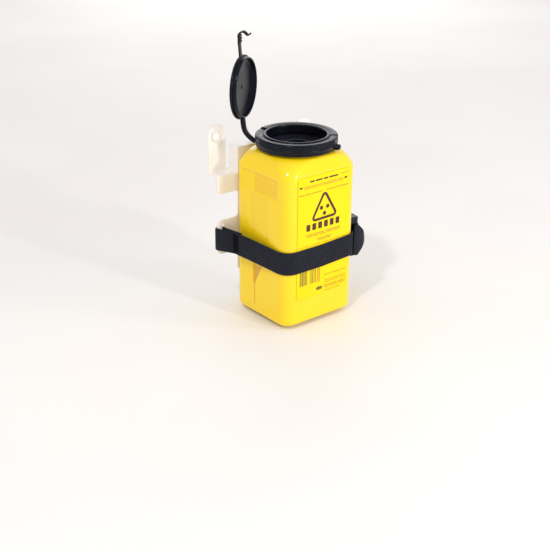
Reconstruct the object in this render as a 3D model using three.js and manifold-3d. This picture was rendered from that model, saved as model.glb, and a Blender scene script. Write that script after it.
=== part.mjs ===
// Wall-hung sharps-waste container: folded sheet bracket, webbing strap with a cam buckle,
// square plastic container, snap-on collar and a tethered flip lid.
// Millimetres, +Z up, +X along the wall, -Y away from the wall.
// The origin is on the wall plane, at the left fixing screw's height and midway between the two ears.
import * as THREE from 'three';
import { mergeVertices } from 'three/addons/utils/BufferGeometryUtils.js';
import Module from 'manifold-3d';

const wasm = await Module();
wasm.setup();

// ---- driving dimensions -------------------------------------------------------------------
const CONTAINER = { width: 96, depth: 88, corner: 12, wall: 2.2, shoulderFoot: 163, height: 182 };
const NECK = { outer: 37.5, inner: 35.9, top: 192.4 };
const MOUTH_R = 31.6;
const COLLAR = { radius: 43.4, foot: 183.8, rim: 196.1, top: 197.1 };
const RAISED = { from: -45, to: 112 };       // azimuths of the rim's higher back half
const SCREW_Z = 190;                        // left screw above the container's foot
const STANDOFF = 16.5;                      // wall to the front of the bracket's plate
const SHEET = 2;                            // bracket sheet thickness
const CONTAINER_Y = -(STANDOFF + 0.5 + CONTAINER.depth / 2);
const PLATE = { halfWidth: 43, top: 179, foot: -2.6 };
const EAR = { outer: 70.3, inner: 48, top: 203, round: 9, drop: 15 };   // drop: the right ear is lower
const SHELF_Z = 151.5;                      // top of the shelves that join ears and lips
const LIP_FOOT = 131;
const WING = { outer: 70.3, foot: 62.5, top: 101.5, round: 6 };
const SLOT = { near: 61.3, far: 64.2, foot: 66, top: 97 };
const SCREW = { x: 61.5, shank: 2, head: 3.3 };
const WEB = { width: 25.4, thick: 1.6, gap: 1.0 };   // strap webbing and its gap to the container
const LABEL = { left: -34, right: 36, foot: 30, top: 165, thick: 0.4, gap: 0.3 };
const LID = { flange: 33.2, plug: 31.1, under: 197.5, top: 200.5, plugFoot: 193.3 };
const LID_HINGE = { x: -37.4, y: 34.8, z: 192.5, azimuth: 39.2, elevation: 6.85, open: 90.8 };
const TETHER_AZIMUTH = 136;                 // where the lid's strap leaves the collar
const TAIL_AZIMUTH = -50;                   // where the latch tail crosses the collar when shut
const TAIL = { root: 44.9, level: 199.4, halfWidth: 4.3, thick: 1.6 };   // root: its thin hinge
const CATCH = { azimuth: -57.5, foot: 183.6, top: 189.8, reach: 47.9 };   // lug on the collar
const BUCKLE = { foot: 54, top: 99.3, slotFoot: 63, slotTop: 91, length: 43, cheek: 13 };
const PIN = { along: 23, out: 7.2, radius: 1.9 };

const CREAM = { color: 0xefe6da, roughness: 0.45, metalness: 0.0 };
const STEEL = { color: 0xb9bcc0, roughness: 0.35, metalness: 0.9 };
const YELLOW = { color: 0xffe030, roughness: 0.42, metalness: 0.0 };
const LEMON = { color: 0xfff22a, roughness: 0.35, metalness: 0.0 };
const BLACK = { color: 0x1d1e22, roughness: 0.45, metalness: 0.0 };
const WEBBING = { color: 0x24262e, roughness: 0.85, metalness: 0.0 };

const rad = THREE.MathUtils.degToRad;

// ---- solids and booleans ------------------------------------------------------------------
function solid(geometry) {
  const bare = geometry.clone();
  bare.deleteAttribute('normal');
  bare.deleteAttribute('uv');
  const merged = mergeVertices(bare, 1e-4);
  const points = new Float32Array(merged.attributes.position.array);
  const corners = new Uint32Array(merged.index.array);
  if (enclosed(points, corners) < 0) turnOver(corners);
  return new wasm.Manifold(new wasm.Mesh({ numProp: 3, vertProperties: points, triVerts: corners }));
}

// six times the volume inside the triangles, negative when they face inwards
function enclosed(points, corners) {
  const corner = (i) => new THREE.Vector3().fromArray(points, corners[i] * 3);
  let sum = 0;
  for (let i = 0; i < corners.length; i += 3) {
    sum += corner(i).dot(corner(i + 1).cross(corner(i + 2)));
  }
  return sum;
}

function turnOver(corners) {
  for (let i = 0; i < corners.length; i += 3) {
    [corners[i], corners[i + 1]] = [corners[i + 1], corners[i]];
  }
}

function joined(first, ...others) {
  return others.reduce((sum, next) => sum.add(next), first);
}

function surface(manifold) {
  const mesh = manifold.getMesh();
  const geometry = new THREE.BufferGeometry();
  geometry.setAttribute('position', new THREE.BufferAttribute(new Float32Array(mesh.vertProperties), 3));
  geometry.setIndex(new THREE.BufferAttribute(new Uint32Array(mesh.triVerts), 1));
  geometry.computeVertexNormals();
  return geometry;
}

function named(name, manifold, finish) {
  const mesh = new THREE.Mesh(surface(manifold), new THREE.MeshStandardMaterial(finish));
  mesh.name = name;
  return mesh;
}

// a block between two corners
function block(x0, x1, y0, y1, z0, z1) {
  const geometry = new THREE.BoxGeometry(x1 - x0, y1 - y0, z1 - z0);
  geometry.translate((x0 + x1) / 2, (y0 + y1) / 2, (z0 + z1) / 2);
  return solid(geometry);
}

// a solid of revolution about +Z from (radius, height) pairs
function turned(profile, segments = 48) {
  const geometry = new THREE.LatheGeometry(profile.map(([r, z]) => new THREE.Vector2(r, z)), segments);
  geometry.rotateX(Math.PI / 2);
  return solid(geometry);
}

function extruded(shape, depth, arcSteps) {
  return new THREE.ExtrudeGeometry(shape, { depth, bevelEnabled: false, curveSegments: arcSteps });
}

// an outline in X and Y, raised from z0 to z1
function raised(shape, z0, z1, arcSteps = 6) {
  return solid(extruded(shape, z1 - z0, arcSteps).translate(0, 0, z0));
}

// an outline in X and Z, given thickness from y0 to y1
function upright(shape, y0, y1, arcSteps = 6) {
  return solid(extruded(shape, y1 - y0, arcSteps).rotateX(Math.PI / 2).translate(0, y1, 0));
}

// an outline in Y and Z, run along X from x0 to x1
function sideways(shape, x0, x1, arcSteps = 6) {
  const turn = new THREE.Matrix4().makeBasis(
    new THREE.Vector3(0, 1, 0), new THREE.Vector3(0, 0, 1), new THREE.Vector3(1, 0, 0));
  return solid(extruded(shape, x1 - x0, arcSteps).applyMatrix4(turn).translate(x0, 0, 0));
}

function mirroredX(manifold) {
  return manifold.mirror([1, 0, 0]);
}

// a closed outline through corners [x, y, radius], with each corner rounded to its radius
function rounded(corners) {
  const shape = new THREE.Shape();
  const count = corners.length;
  corners.forEach(([x, y, radius], i) => {
    const corner = new THREE.Vector2(x, y);
    const before = new THREE.Vector2(...corners[(i + count - 1) % count]).sub(corner).normalize();
    const after = new THREE.Vector2(...corners[(i + 1) % count]).sub(corner).normalize();
    if (!radius) {
      if (i === 0) shape.moveTo(x, y);
      else shape.lineTo(x, y);
      return;
    }
    const half = Math.acos(THREE.MathUtils.clamp(before.dot(after), -1, 1)) / 2;
    const run = radius / Math.tan(half);
    const middle = before.clone().add(after).normalize().multiplyScalar(radius / Math.sin(half)).add(corner);
    const from = corner.clone().addScaledVector(before, run).sub(middle);
    const to = corner.clone().addScaledVector(after, run).sub(middle);
    const clockwise = from.cross(to) < 0;
    if (i === 0) shape.moveTo(middle.x + from.x, middle.y + from.y);
    else shape.lineTo(middle.x + from.x, middle.y + from.y);
    shape.absarc(middle.x, middle.y, radius, from.angle(), to.angle(), clockwise);
  });
  shape.closePath();
  return shape;
}

// ---- folded sheet bracket -----------------------------------------------------------------
const PLATE_FRONT = -STANDOFF;
const PLATE_BACK = -STANDOFF + SHEET;

function plateOutline() {
  const side = [
    [22, PLATE.foot, 0], [22, 18, 4], [PLATE.halfWidth, 40, 4], [PLATE.halfWidth, WING.foot, 3],
    [WING.outer, WING.foot, WING.round], [WING.outer, WING.top, WING.round],
    [PLATE.halfWidth, WING.top, 5], [PLATE.halfWidth, LIP_FOOT, 3], [WING.outer, LIP_FOOT, 4],
    [WING.outer, SHELF_Z - 2, 0], [PLATE.halfWidth, SHELF_Z - 2, 0], [PLATE.halfWidth, PLATE.top, 0],
  ];
  const other = side.map(([x, z, r]) => [-x, z, r]).reverse();
  return rounded([...side, ...other]);
}

// ear on the wall, forward shelf and downturned lip: one strip with two bends
function earStrip(drop) {
  const top = EAR.top - drop;
  const strip = rounded([
    [0, top, 0], [0, SHELF_Z - SHEET, 4], [PLATE_BACK, SHELF_Z - SHEET, 1.5],
    [PLATE_BACK, LIP_FOOT + 5, 0], [PLATE_FRONT, LIP_FOOT + 5, 0], [PLATE_FRONT, SHELF_Z, 3.5],
    [-SHEET, SHELF_Z, 2], [-SHEET, top, 0],
  ].reverse());
  const outline = rounded([
    [EAR.outer, 120, 0], [EAR.outer, top, EAR.round], [EAR.inner, top, EAR.round],
    [EAR.inner, SHELF_Z + 2, 0], [PLATE.halfWidth - 1, SHELF_Z + 2, 0], [PLATE.halfWidth - 1, 120, 0],
  ]);
  const hole = new THREE.CylinderGeometry(SCREW.shank + 0.4, SCREW.shank + 0.4, 8, 20)
    .translate(SCREW.x, 0, SCREW_Z - drop);
  return sideways(strip, 40, 72).intersect(upright(outline, -30, 5)).subtract(solid(hole));
}

function bracketPlate() {
  const box = [
    block(-PLATE.halfWidth, PLATE.halfWidth, PLATE_FRONT, 0, PLATE.top - SHEET, PLATE.top),
    block(-PLATE.halfWidth, -PLATE.halfWidth + SHEET, PLATE_FRONT, 0, SHELF_Z - SHEET, PLATE.top),
    block(PLATE.halfWidth - SHEET, PLATE.halfWidth, PLATE_FRONT, 0, SHELF_Z - SHEET, PLATE.top),
  ];
  const ledge = sideways(rounded([
    [PLATE_FRONT - 20, PLATE.foot, 0], [PLATE_BACK, PLATE.foot, 2.2], [PLATE_BACK, 6, 0],
    [PLATE_FRONT, 6, 0], [PLATE_FRONT, PLATE.foot + SHEET, 0], [PLATE_FRONT - 20, PLATE.foot + SHEET, 0],
  ]), -20, 20, 3);
  const slot = rounded([
    [SLOT.near, SLOT.foot, 1.2], [SLOT.far, SLOT.foot, 1.2],
    [SLOT.far, SLOT.top, 1.2], [SLOT.near, SLOT.top, 1.2],
  ]);
  const slotCut = upright(slot, PLATE_FRONT - 3, PLATE_BACK + 3, 3);
  const ears = earStrip(EAR.drop).add(mirroredX(earStrip(0)));
  const plate = upright(plateOutline(), PLATE_FRONT, PLATE_BACK, 4);
  return joined(plate, ears, ledge, ...box).subtract(slotCut).subtract(mirroredX(slotCut));
}

// screw, cup washer and snap-on cap of one ear, set 0.3 mm off the ear and off each other
function fixing(side) {
  const front = -SHEET - 0.3;
  const height = side < 0 ? SCREW_Z : SCREW_Z - EAR.drop;
  const place = (geometry) => solid(geometry.translate(side * SCREW.x, 0, height));
  const spun = (profile) => place(new THREE.LatheGeometry(
    profile.map(([r, y]) => new THREE.Vector2(r, y)), 24));
  const underHead = front - 1;
  const rod = place(new THREE.CylinderGeometry(SCREW.shank, SCREW.shank, -underHead, 16)
    .translate(0, underHead / 2 - 0.1, 0));
  const head = place(new THREE.CylinderGeometry(SCREW.head, SCREW.head - 0.8, 1.3, 20)
    .translate(0, underHead - 0.65, 0));
  const recess = place(new THREE.CylinderGeometry(1.3, 1.3, 0.9, 6).translate(0, underHead - 1.2, 0));
  const washer = spun([
    [2.3, front], [2.3, front - 0.7], [4.6, front - 0.7], [4.6, front], [2.3, front],
  ]);
  const cap = spun([
    [0, front - 4.4], [2.2, front - 4.1], [3.9, front - 3.2], [5.0, front - 1.5], [5.0, front - 1.0],
    [4.2, front - 1.0], [4.0, front - 2.1], [3.2, front - 3.0], [0, front - 3.4],
  ]);
  const label = side < 0 ? 'left' : 'right';
  return [
    named(`fixing_screw_${label}`, joined(rod, head).subtract(recess), STEEL),
    named(`cup_washer_${label}`, washer, CREAM),
    named(`screw_cap_${label}`, cap, CREAM),
  ];
}

// ---- container ----------------------------------------------------------------------------
// one ring of a rounded rectangle, the same number of points whatever its size
function ring(halfX, halfY, corner, z, steps = 6) {
  const points = [];
  const centres = [[1, 1], [-1, 1], [-1, -1], [1, -1]];
  centres.forEach(([sx, sy], quarter) => {
    for (let i = 0; i <= steps; i += 1) {
      const angle = (quarter + i / steps) * Math.PI / 2;
      points.push(new THREE.Vector3(
        sx * (halfX - corner) + corner * Math.cos(angle),
        sy * (halfY - corner) + corner * Math.sin(angle), z));
    }
  });
  return points;
}

// a closed solid through a stack of rings
function lofted(rings) {
  const count = rings[0].length;
  const positions = rings.flat().flatMap((point) => point.toArray());
  const faces = [];
  for (let level = 0; level + 1 < rings.length; level += 1) {
    for (let i = 0; i < count; i += 1) {
      const a = level * count + i;
      const b = level * count + (i + 1) % count;
      faces.push(a, b, b + count, a, b + count, a + count);
    }
  }
  const top = (rings.length - 1) * count;
  for (let i = 1; i + 1 < count; i += 1) {
    faces.push(0, i + 1, i);
    faces.push(top, top + i, top + i + 1);
  }
  const geometry = new THREE.BufferGeometry();
  geometry.setAttribute('position', new THREE.Float32BufferAttribute(positions, 3));
  geometry.setIndex(faces);
  return solid(geometry);
}

// the container's skin, moved inwards by an inset and closed off at its throat
function containerSkin(inset, throatRadius, throatTop) {
  const { width, depth, corner, shoulderFoot } = CONTAINER;
  const throatFoot = CONTAINER.height - inset;
  const footRound = 5;
  const shoulderTopR = NECK.outer + 0.2;
  const rings = [];
  for (let i = 0; i <= 3; i += 1) {
    const turn = i / 3 * Math.PI / 2;
    const pull = footRound * (1 - Math.sin(turn)) + inset;
    const height = inset + footRound * (1 - Math.cos(turn));
    rings.push(ring(width / 2 - pull, depth / 2 - pull, corner - pull * 0.6, height));
  }
  for (let i = 0; i <= 6; i += 1) {
    const turn = i / 6 * Math.PI / 2;
    const blend = 1 - Math.cos(turn);
    const grow = THREE.MathUtils.lerp(corner, shoulderTopR, blend ** 0.8) - inset;
    rings.push(ring(
      THREE.MathUtils.lerp(width / 2, shoulderTopR + 0.1, blend) - inset,
      THREE.MathUtils.lerp(depth / 2, shoulderTopR + 0.1, blend) - inset,
      grow, shoulderFoot - inset + (CONTAINER.height - shoulderFoot) * Math.sin(turn) ** 1.3));
  }
  rings.push(ring(throatRadius, throatRadius, throatRadius - 0.05, throatFoot));
  rings.push(ring(throatRadius, throatRadius, throatRadius - 0.05, throatTop));
  return lofted(rings);
}

function containerShell() {
  const outer = containerSkin(0, NECK.outer, NECK.top);
  const inner = containerSkin(CONTAINER.wall, NECK.inner, NECK.top + 2);
  const reach = CONTAINER.width / 2;
  const recess = sideways(rounded([
    [-20, 140, 4], [24, 140, 4], [24, 160.5, 3], [-20, 160.5, 3],
  ]), -reach - 2, -reach + 1.1, 3);
  return outer.subtract(inner).subtract(recess).subtract(mirroredX(recess));
}

function labelPanel() {
  const back = -CONTAINER.depth / 2 - LABEL.gap;
  const sheet = rounded([
    [LABEL.left, LABEL.foot, 3], [LABEL.right, LABEL.foot, 3],
    [LABEL.right, LABEL.top, 3], [LABEL.left, LABEL.top, 3],
  ]);
  return upright(sheet, back - LABEL.thick, back, 4);
}

function collarRing() {
  const { radius, foot, rim, top } = COLLAR;
  const skirt = NECK.outer + 0.7;
  const body = turned([
    [skirt, foot], [radius - 0.8, foot], [radius, foot + 0.8], [radius, rim - 2.6],
    [radius - 0.8, rim - 0.7], [radius - 2.4, rim], [36.2, rim], [35.2, top - 0.5], [34.2, top],
    [MOUTH_R + 0.8, top], [MOUTH_R, top - 0.8], [MOUTH_R, 187.4], [MOUTH_R + 1.7, 187.4],
    [MOUTH_R + 1.7, NECK.top + 0.6], [skirt, NECK.top + 0.6], [skirt, foot],
  ], 72);
  // the back half of the rim stands higher than the front half
  const sector = new THREE.Shape();
  const from = rad(RAISED.from);
  const to = rad(RAISED.to);
  sector.absarc(0, 0, radius - 0.9, from, to, false);
  sector.absarc(0, 0, 35, to, from, true);
  sector.closePath();
  const halfRing = raised(sector, rim - 0.6, top - 0.1, 24);
  return joined(body, halfRing, catchLug());
}

// the lug that the latch tail hooks under, narrowing outwards
function catchLug() {
  const { azimuth, foot, top, reach } = CATCH;
  const outline = rounded([
    [41, -4.4, 0], [reach - 2.4, -4, 0], [reach, -2.8, 1.5],
    [reach, 2.8, 1.5], [reach - 2.4, 4, 0], [41, 4.4, 0],
  ]);
  return raised(outline, foot, top, 4).rotate([0, 0, azimuth]);
}

function mouthInsert() {
  const plate = turned([
    [12.2, 186.6], [12.2, 180.2], [13.6, 180.2], [13.6, 182.9], [35.3, 185.2], [35.3, 186.8],
    [15, 184.6], [13.6, 186.6], [12.2, 186.6],
  ], 48);
  const keyhole = (azimuth) => solid(new THREE.CylinderGeometry(2.4, 2.4, 12, 16)
    .rotateX(Math.PI / 2).translate(22, 0, 185).rotateZ(rad(azimuth)));
  return plate.subtract(keyhole(200)).subtract(keyhole(320));
}

// ---- lid, in its shut place ---------------------------------------------------------------
// flat bar that lies along an azimuth, from one radius to another
function spoke(azimuth, r0, r1, halfWidth, z0, z1) {
  const geometry = new THREE.BoxGeometry(r1 - r0, halfWidth * 2, z1 - z0)
    .translate((r0 + r1) / 2, 0, (z0 + z1) / 2).rotateZ(rad(azimuth));
  return solid(geometry);
}

function lidCap() {
  const { flange, plug, under, top, plugFoot } = LID;
  const dish = turned([
    [0, under + 1.3], [plug - 2.4, under + 0.9], [plug - 1.7, plugFoot], [plug - 0.4, plugFoot],
    [plug, plugFoot + 0.5], [plug, under], [flange - 0.6, under], [flange, under + 0.7],
    [flange, top - 1.0], [flange - 1.0, top], [flange - 3.2, top], [flange - 4.2, top - 0.7],
    [0, top - 0.2],
  ], 64);
  const tetherLug = spoke(TETHER_AZIMUTH, flange - 1, 35.4, 4, under - 0.3, under + 1.2);
  const { root, level, halfWidth, thick } = TAIL;
  const tailLug = joined(
    spoke(TAIL_AZIMUTH, flange - 1, root - 1.2, halfWidth, level - thick / 2, level + thick / 2),
    spoke(TAIL_AZIMUTH, flange - 1, root - 0.2, halfWidth - 0.4, level - 0.4, level + 0.4));
  const gatePip = turned([[0, under + 0.6], [1.3, under + 0.6], [1.3, under + 2], [0, under + 2]], 12);
  return joined(dish, tetherLug, tailLug, gatePip);
}

// a strip whose middle line is given by (radius, height) pairs in one upright plane
function strip(azimuth, line, thick, halfWidth) {
  const middle = line.map(([r, z]) => new THREE.Vector2(r, z));
  const normals = middle.map((point, i) => {
    const before = middle[Math.max(i - 1, 0)];
    const after = middle[Math.min(i + 1, middle.length - 1)];
    const along = after.clone().sub(before).normalize();
    return new THREE.Vector2(-along.y, along.x).multiplyScalar(thick / 2);
  });
  const upper = middle.map((point, i) => point.clone().add(normals[i]));
  const lower = middle.map((point, i) => point.clone().sub(normals[i])).reverse();
  const shape = new THREE.Shape([...lower, ...upper]);
  const stand = extruded(shape, halfWidth * 2, 1).translate(0, 0, -halfWidth).rotateX(Math.PI / 2);
  return solid(stand.rotateZ(rad(azimuth)));
}

// a smooth line through a few points
function smooth(points, steps) {
  const curve = new THREE.SplineCurve(points.map(([x, y]) => new THREE.Vector2(x, y)));
  return curve.getPoints(steps).map((point) => point.toArray());
}

// the tether is one moulded strip; it is split at its bend into a fixed and a moving half
function tetherRoot() {
  return strip(TETHER_AZIMUTH, [[COLLAR.radius + 0.4, 187.5], [46, 189.2], [48.5, 191.6]], 1.5, 4);
}

function tetherBand() {
  const line = smooth([[35.7, 198], [39, 197.6], [43.2, 196.9], [46.6, 195.2], [49.6, 192.9]], 8);
  return strip(TETHER_AZIMUTH, line, 1.5, 4);
}

// blade with a toothed underside and a hook that curls down outside the collar
function latchTail() {
  const { root, level, halfWidth, thick } = TAIL;
  const line = [
    [5, 0], [10.2, 0.1], [12.6, -1.1], [13.9, -4.4], [12.7, -6.9], [10.9, -9], [12.3, -12],
  ];
  const hook = smooth(line.map(([reach, rise]) => [root + reach, level + rise]), 18);
  const blade = strip(TAIL_AZIMUTH, [[root + 1.1, level], ...hook], thick, halfWidth);
  const neck = spoke(TAIL_AZIMUTH, root + 0.2, root + 2, halfWidth - 0.4, level - 0.4, level + 0.4);
  const teeth = [2.6, 5.6, 8.6].map((middle) => spoke(
    TAIL_AZIMUTH, root + middle - 0.8, root + middle + 0.8, halfWidth - 0.5, level - 1.6, level - 0.5));
  return joined(blade, neck, ...teeth);
}

// ---- strap and buckle ---------------------------------------------------------------------
// a band of webbing on edge: [x, y, height of its middle] stations, laid along a path
function webbing(stations, width = WEB.width, thick = WEB.thick) {
  const rings = stations.map(([x, y, z], i) => {
    const [bx, by] = stations[Math.max(i - 1, 0)];
    const [ax, ay] = stations[Math.min(i + 1, stations.length - 1)];
    const run = Math.hypot(ax - bx, ay - by);
    const nx = (ay - by) / run * thick / 2;
    const ny = -(ax - bx) / run * thick / 2;
    const low = z - width / 2;
    const high = z + width / 2;
    return [
      new THREE.Vector3(x + nx, y + ny, low), new THREE.Vector3(x + nx, y + ny, high),
      new THREE.Vector3(x - nx, y - ny, high), new THREE.Vector3(x - nx, y - ny, low),
    ];
  });
  return lofted(rings);
}

const STRAP_FRONT = CONTAINER_Y - CONTAINER.depth / 2 - WEB.gap - WEB.thick / 2;
const STRAP_SIDE = CONTAINER.width / 2 + WEB.gap + WEB.thick / 2;
const CORNER_X = CONTAINER.width / 2 - CONTAINER.corner;
const CORNER_Y = CONTAINER_Y - CONTAINER.depth / 2 + CONTAINER.corner;
const CORNER_R = STRAP_SIDE - CORNER_X;
const EYE = { outer: WING.outer - 1, inner: SLOT.far + 1, y: (PLATE_FRONT + PLATE_BACK) / 2, round: 2.5 };
const LAYER = WEB.thick + 0.35;             // from one layer of webbing to the next
const STITCH = 59.5;                        // how far along the free run the eye is sewn
// the free run leans in from the wing to the container's front corner
const LEAN = Math.atan2(61.9 - STRAP_SIDE, EYE.y - CORNER_Y);
const HEIGHTS = { wing: 81, stitch: 79, leftCorner: 74.3, front: 74.2, rightCorner: 76, buckle: 77 };
const REAR_BAR = { out: -1.7, along: 39.8, radius: 1.4 };

// a station beside the free run: along it from the container's corner, and out from its middle
function besideRun(along, out, z) {
  return [
    STRAP_SIDE + Math.sin(LEAN) * along + Math.cos(LEAN) * out,
    CORNER_Y + Math.cos(LEAN) * along - Math.sin(LEAN) * out,
    z,
  ];
}

function arcStations(x, y, radius, fromDeg, toDeg, steps, z) {
  return Array.from({ length: steps + 1 }, (_, i) => {
    const angle = rad(fromDeg + (toDeg - fromDeg) * i / steps);
    return [x + radius * Math.cos(angle), y + radius * Math.sin(angle), z];
  });
}

// the eye of webbing round the wing's outer bar: out over it, behind it and back through the slot
function wingEye() {
  const { outer, inner, y, round } = EYE;
  return [
    besideRun(STITCH + 2.5, 0, HEIGHTS.stitch),
    ...arcStations(outer, y, round, -39, 90, 6, HEIGHTS.wing),
    ...arcStations(inner, y, round, 90, 180, 4, HEIGHTS.wing),
    [inner - round - 0.3, y - 5, HEIGHTS.wing - 0.4],
    besideRun(STITCH + 1.5, -LAYER, HEIGHTS.stitch),
  ];
}

function flipped(stations) {
  return stations.map(([x, y, z]) => [-x, y, z]);
}

// from the left wing, across the container's front, through the buckle to its free end
function longStrap() {
  const leftEye = [...wingEye(), besideRun(STITCH - 6, -LAYER, HEIGHTS.stitch)].reverse();
  const leftRun = [besideRun(30, 0, 76.8), besideRun(2, 0, HEIGHTS.leftCorner)];
  const rightRun = [
    besideRun(2, 0, HEIGHTS.rightCorner), besideRun(30, 0, HEIGHTS.buckle), besideRun(34, 1, HEIGHTS.buckle),
    besideRun(38.5, 2.9, HEIGHTS.buckle + 0.2), besideRun(46, 2.8, HEIGHTS.buckle + 0.6),
    besideRun(54.5, 2.4, HEIGHTS.buckle + 1.2),
  ];
  return webbing([
    ...flipped(leftEye), ...flipped(leftRun),
    ...arcStations(-CORNER_X, CORNER_Y, CORNER_R, 184, 270, 6, HEIGHTS.leftCorner),
    [0, STRAP_FRONT, HEIGHTS.front],
    ...arcStations(CORNER_X, CORNER_Y, CORNER_R, 270, 356, 6, HEIGHTS.rightCorner),
    ...rightRun,
  ]);
}

// the short loop that ties the buckle's rear bar to the right wing, its ends butted on the inside
function anchorStrap() {
  const reach = REAR_BAR.radius + 1.2;
  const roundBar = [0, 30, 60, 90, 120, 150, 180].map((turn) => besideRun(
    REAR_BAR.along - reach * Math.sin(rad(turn)),
    REAR_BAR.out - reach * Math.cos(rad(turn)), HEIGHTS.buckle));
  return webbing([
    besideRun(52, REAR_BAR.out - reach + 0.5, HEIGHTS.stitch - 0.8),
    besideRun(45, REAR_BAR.out - reach, HEIGHTS.buckle + 0.5),
    ...roundBar,
    besideRun(46, 0.6, HEIGHTS.buckle + 0.6), besideRun(55, 0, HEIGHTS.stitch - 0.5),
    ...wingEye(),
    besideRun(54.5, -LAYER - 0.7, HEIGHTS.stitch - 0.5),
  ]);
}

// block of stitching thread standing on the webbing's outer face
function barTack(side) {
  const [x, y] = besideRun(STITCH, WEB.thick / 2 + 0.55, 0);
  const geometry = new THREE.BoxGeometry(0.5, 4.4, 21).rotateZ(-LEAN).translate(x, y, HEIGHTS.stitch);
  const tack = solid(geometry);
  return side < 0 ? mirroredX(tack) : tack;
}

// places a solid modelled beside the free run: +X outward, +Y towards the wall
function onRun(manifold) {
  return manifold.rotate([0, 0, -THREE.MathUtils.radToDeg(LEAN)]).translate([STRAP_SIDE, CORNER_Y, 0]);
}

function alongPin(radius, length, segments = 20) {
  return solid(new THREE.CylinderGeometry(radius, radius, length, segments)
    .rotateX(Math.PI / 2).translate(PIN.out, PIN.along, (BUCKLE.top + BUCKLE.foot) / 2));
}

function buckleFrame() {
  const { foot, top, slotFoot, slotTop, length, cheek } = BUCKLE;
  const side = rounded([
    [-0.9, 1.2, 0.5], [cheek, 1.2, 2], [cheek, 12, 4], [cheek - 2, 26, 4], [cheek - 6, length, 3],
    [-3, length, 0.8], [-3, 11.5, 0.8], [-0.9, 9, 0],
  ]);
  const cheeks = raised(side, foot, slotFoot, 3).add(raised(side, slotTop, top, 3));
  const floor = block(-2.7, -1.2, 12, 30, slotFoot - 1, slotTop + 1);
  const rearBar = raised(rounded([
    [-1, -1, 1], [1, -1, 1], [1, 1, 1], [-1, 1, 1],
  ].map(([x, y]) => [
    REAR_BAR.out + x * REAR_BAR.radius, REAR_BAR.along + y * REAR_BAR.radius, REAR_BAR.radius * 0.98,
  ])), slotFoot - 1, slotTop + 1, 3);
  return onRun(joined(cheeks, floor, rearBar).subtract(alongPin(PIN.radius + 0.3, 60)));
}

function bucklePin() {
  return onRun(alongPin(PIN.radius, BUCKLE.top - BUCKLE.foot - 1));
}

// cam on the pin, arm between the cheeks and a domed thumb pad that wraps round their front ends
function buckleLever() {
  const low = BUCKLE.slotFoot + 0.6;
  const high = BUCKLE.slotTop - 0.6;
  const padFront = upright(rounded([
    [5.4, 60, 3], [8, 54.6, 2], [11.2, 56.4, 3], [16.6, 64, 4], [20.3, 69, 5], [20.6, 74.5, 5],
    [18, 83.4, 6], [11.6, 91, 1], [5.4, 91, 1.5],
  ]), -6, 18, 3);
  const padSide = raised(rounded([
    [13.3, 0, 0], [5.4, 0, 0.5], [5.4, -1.9, 1], [9.4, -3.6, 4], [16, -3.9, 4], [20.6, -1.6, 3], [20.9, 6, 5],
    [17.6, 16, 2], [13.3, 16, 0.6],
  ].reverse()), 50, 96, 3);
  const arm = raised(rounded([
    [14.8, 2.5, 0], [14.8, 15.8, 0], [12.2, 24.3, 2], [6, 26, 0], [3.5, 19.2, 0], [11.2, 4, 1],
  ]), low, high, 3);
  const cam = alongPin(5.4, high - low, 28);
  const well = block(PIN.out - 7, PIN.out + 4.2, PIN.along - 4.2, PIN.along + 8, 74, 80);
  const pinHole = alongPin(PIN.radius + 0.3, 60);
  return onRun(joined(padFront.intersect(padSide), arm, cam).subtract(pinHole).subtract(well));
}

// the torsion spring coiled round the pin, as one sleeve
function leverSpring() {
  const inner = PIN.radius + 0.35;
  const coil = turned([
    [inner, -2.4], [inner + 1, -2.4], [inner + 1, 2.4], [inner, 2.4], [inner, -2.4],
  ], 20);
  return onRun(coil.translate([PIN.out, PIN.along, 77]));
}

// ---- assembly -----------------------------------------------------------------------------
const assembly = new THREE.Group();
const aboveFoot = new THREE.Group();        // everything is dimensioned above the container's foot
aboveFoot.position.set(0, 0, -SCREW_Z);
assembly.add(aboveFoot);

aboveFoot.add(named('bracket_plate', bracketPlate(), CREAM), ...fixing(-1), ...fixing(1));
aboveFoot.add(
  named('long_strap', longStrap(), WEBBING),
  named('anchor_strap', anchorStrap(), WEBBING),
  named('bar_tack_left', barTack(-1), WEBBING),
  named('bar_tack_right', barTack(1), WEBBING),
  named('buckle_frame', buckleFrame(), BLACK),
  named('buckle_pin', bucklePin(), STEEL),
  named('lever_spring', leverSpring(), STEEL),
  named('buckle_lever', buckleLever(), BLACK),
);

const container = new THREE.Group();
container.position.set(0, CONTAINER_Y, 0);
aboveFoot.add(container);
container.add(
  named('container_shell', containerShell(), YELLOW),
  named('label_panel', labelPanel(), LEMON),
  named('collar_ring', collarRing(), BLACK),
  named('mouth_insert', mouthInsert(), BLACK),
  named('tether_root', tetherRoot(), BLACK),
);

// the lid hangs open: turned back from its shut place about the tether's bend
const lid = new THREE.Group();
const hinge = new THREE.Vector3(LID_HINGE.x, LID_HINGE.y, LID_HINGE.z);
const hingeAxis = new THREE.Vector3(
  Math.cos(rad(LID_HINGE.elevation)) * Math.cos(rad(LID_HINGE.azimuth)),
  Math.cos(rad(LID_HINGE.elevation)) * Math.sin(rad(LID_HINGE.azimuth)),
  Math.sin(rad(LID_HINGE.elevation)));
lid.quaternion.setFromAxisAngle(hingeAxis, -rad(LID_HINGE.open));
lid.position.copy(hinge.clone().sub(hinge.clone().applyQuaternion(lid.quaternion)));
lid.add(
  named('lid_cap', lidCap(), BLACK),
  named('tether_band', tetherBand(), BLACK),
  named('latch_tail', latchTail(), BLACK),
);
container.add(lid);

export default assembly;
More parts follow.
